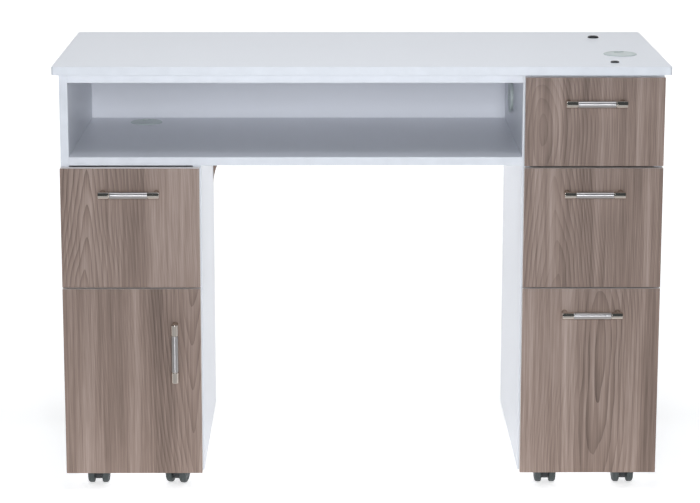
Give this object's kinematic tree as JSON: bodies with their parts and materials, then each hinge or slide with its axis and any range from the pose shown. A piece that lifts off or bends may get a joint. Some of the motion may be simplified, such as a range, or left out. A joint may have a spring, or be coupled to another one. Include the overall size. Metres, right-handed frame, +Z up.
{
  "type": "manicure table",
  "caption": "Manicure table with a desktop on two rolling pedestals, an open cubby, pull-out drawers and a cupboard with a door",
  "frame": {"origin": "on the floor under the middle of the object's box, drawer handles included", "axes": "+X to the right seen from the front, along the table's length; the fronts face -Y; +Z up"},
  "size_m": [1.1, 0.472, 0.7932],
  "materials": {
    "white_board": "white melamine-faced board, satin",
    "wood_board": "grey-brown wood-grain laminate board, matte",
    "chrome": "polished chrome with a satin middle",
    "steel": "zinc plated",
    "grommet_plastic": "pale grey, satin",
    "black_plastic": "black, moulded",
    "wheel_plastic": "dark grey, moulded"
  },
  "bodies": {
    "carcass": {"desktop": "white_board", "left_outer_side": "white_board", "left_inner_side": "white_board", "right_inner_side": "white_board", "right_outer_side": "white_board", "cubby_shelf": "white_board", "cubby_back": "white_board", "top_rails": "white_board", "pedestal_bottoms": "white_board", "pedestal_backs": "white_board", "left_divider": "white_board", "corner_gusset": "wood_board", "inner_shelf": "white_board", "shelf_pins": "steel", "slide_channels": "steel", "grommet_rings": "grommet_plastic", "lamp_bushings": "black_plastic", "hinge_arms": "steel", "caster_plates": "steel", "caster_king_pins": "steel", "caster_screws": "steel"},
    "left_drawer": {"left_drawer_front": "wood_board", "left_drawer_box": "white_board", "left_drawer_handle": "chrome", "left_drawer_runners": "steel"},
    "top_drawer": {"top_drawer_front": "wood_board", "top_drawer_box": "white_board", "top_drawer_handle": "chrome", "top_drawer_runners": "steel"},
    "middle_drawer": {"middle_drawer_front": "wood_board", "middle_drawer_box": "white_board", "middle_drawer_handle": "chrome", "middle_drawer_runners": "steel"},
    "bottom_drawer": {"bottom_drawer_front": "wood_board", "bottom_drawer_box": "white_board", "bottom_drawer_handle": "chrome", "bottom_drawer_runners": "steel"},
    "door": {"door_panel": "wood_board", "door_handle": "chrome", "hinge_cups": "steel"},
    "hinge_link": {"hinge_links": "steel"},
    "caster_1": {"caster_fork_1": "black_plastic"},
    "wheels_1": {"caster_wheels_1": "wheel_plastic"},
    "caster_2": {"caster_fork_2": "black_plastic"},
    "wheels_2": {"caster_wheels_2": "wheel_plastic"},
    "caster_3": {"caster_fork_3": "black_plastic"},
    "wheels_3": {"caster_wheels_3": "wheel_plastic"},
    "caster_4": {"caster_fork_4": "black_plastic"},
    "wheels_4": {"caster_wheels_4": "wheel_plastic"},
    "caster_5": {"caster_fork_5": "black_plastic"},
    "wheels_5": {"caster_wheels_5": "wheel_plastic"},
    "caster_6": {"caster_fork_6": "black_plastic"},
    "wheels_6": {"caster_wheels_6": "wheel_plastic"},
    "caster_7": {"caster_fork_7": "black_plastic"},
    "wheels_7": {"caster_wheels_7": "wheel_plastic"},
    "caster_8": {"caster_fork_8": "black_plastic"},
    "wheels_8": {"caster_wheels_8": "wheel_plastic"},
    "desk_cap": {"desk_grommet_cap": "grommet_plastic"},
    "cubby_cap": {"cubby_grommet_cap": "grommet_plastic"},
    "side_cap": {"side_grommet_cap": "grommet_plastic"}
  },
  "joints": [
    {"name": "left_drawer_slide", "type": "slide", "parent": "carcass", "child": "left_drawer", "axis": [0, -1, 0], "range_m": [0, 0.29]},
    {"name": "top_drawer_slide", "type": "slide", "parent": "carcass", "child": "top_drawer", "axis": [0, -1, 0], "range_m": [0, 0.29]},
    {"name": "middle_drawer_slide", "type": "slide", "parent": "carcass", "child": "middle_drawer", "axis": [0, -1, 0], "range_m": [0, 0.29]},
    {"name": "bottom_drawer_slide", "type": "slide", "parent": "carcass", "child": "bottom_drawer", "axis": [0, -1, 0], "range_m": [0, 0.29]},
    {"name": "door_turn", "type": "hinge", "parent": "carcass", "child": "door", "pos_m": [-0.533, -0.203, 0.209], "axis": [0, 0, 1], "range_deg": [-95, 0]},
    {"name": "hinge_link_turn", "type": "hinge", "parent": "carcass", "child": "hinge_link", "pos_m": [-0.5041, -0.1861, 0.209], "axis": [0, 0, 1], "range_deg": [0, 27]},
    {"name": "caster_1_swivel", "type": "hinge", "parent": "carcass", "child": "caster_1", "pos_m": [-0.486, -0.16, 0.045], "axis": [0, 0, 1], "continuous": true},
    {"name": "wheels_1_roll", "type": "hinge", "parent": "caster_1", "child": "wheels_1", "pos_m": [-0.486, -0.15, 0.02], "axis": [1, 0, 0], "continuous": true},
    {"name": "caster_2_swivel", "type": "hinge", "parent": "carcass", "child": "caster_2", "pos_m": [-0.342, -0.16, 0.045], "axis": [0, 0, 1], "continuous": true},
    {"name": "wheels_2_roll", "type": "hinge", "parent": "caster_2", "child": "wheels_2", "pos_m": [-0.33992, -0.15022, 0.02], "axis": [0.9781, -0.2079, 0], "continuous": true},
    {"name": "caster_3_swivel", "type": "hinge", "parent": "carcass", "child": "caster_3", "pos_m": [0.342, -0.16, 0.045], "axis": [0, 0, 1], "continuous": true},
    {"name": "wheels_3_roll", "type": "hinge", "parent": "caster_3", "child": "wheels_3", "pos_m": [0.342, -0.15, 0.02], "axis": [1, 0, 0], "continuous": true},
    {"name": "caster_4_swivel", "type": "hinge", "parent": "carcass", "child": "caster_4", "pos_m": [0.486, -0.16, 0.045], "axis": [0, 0, 1], "continuous": true},
    {"name": "wheels_4_roll", "type": "hinge", "parent": "caster_4", "child": "wheels_4", "pos_m": [0.486, -0.15, 0.02], "axis": [1, 0, 0], "continuous": true},
    {"name": "caster_5_swivel", "type": "hinge", "parent": "carcass", "child": "caster_5", "pos_m": [-0.486, 0.191, 0.045], "axis": [0, 0, 1], "continuous": true},
    {"name": "wheels_5_roll", "type": "hinge", "parent": "caster_5", "child": "wheels_5", "pos_m": [-0.486, 0.201, 0.02], "axis": [1, 0, 0], "continuous": true},
    {"name": "caster_6_swivel", "type": "hinge", "parent": "carcass", "child": "caster_6", "pos_m": [-0.342, 0.191, 0.045], "axis": [0, 0, 1], "continuous": true},
    {"name": "wheels_6_roll", "type": "hinge", "parent": "caster_6", "child": "wheels_6", "pos_m": [-0.342, 0.201, 0.02], "axis": [1, 0, 0], "continuous": true},
    {"name": "caster_7_swivel", "type": "hinge", "parent": "carcass", "child": "caster_7", "pos_m": [0.342, 0.191, 0.045], "axis": [0, 0, 1], "continuous": true},
    {"name": "wheels_7_roll", "type": "hinge", "parent": "caster_7", "child": "wheels_7", "pos_m": [0.342, 0.201, 0.02], "axis": [1, 0, 0], "continuous": true},
    {"name": "caster_8_swivel", "type": "hinge", "parent": "carcass", "child": "caster_8", "pos_m": [0.486, 0.191, 0.045], "axis": [0, 0, 1], "continuous": true},
    {"name": "wheels_8_roll", "type": "hinge", "parent": "caster_8", "child": "wheels_8", "pos_m": [0.486, 0.201, 0.02], "axis": [1, 0, 0], "continuous": true},
    {"name": "desk_cap_turn", "type": "hinge", "parent": "carcass", "child": "desk_cap", "pos_m": [0.476, -0.06, 0.79], "axis": [0, 0, 1], "continuous": true},
    {"name": "cubby_cap_turn", "type": "hinge", "parent": "carcass", "child": "cubby_cap", "pos_m": [-0.414, 0.168, 0.622], "axis": [0, 0, 1], "continuous": true},
    {"name": "side_cap_turn", "type": "hinge", "parent": "carcass", "child": "side_cap", "pos_m": [0.288, 0.057, 0.692], "axis": [-1, 0, 0], "continuous": true}
  ],
  "couplings": [
    {"joint": "hinge_link_turn", "follows": "door_turn", "ratio": -0.279}
  ]
}
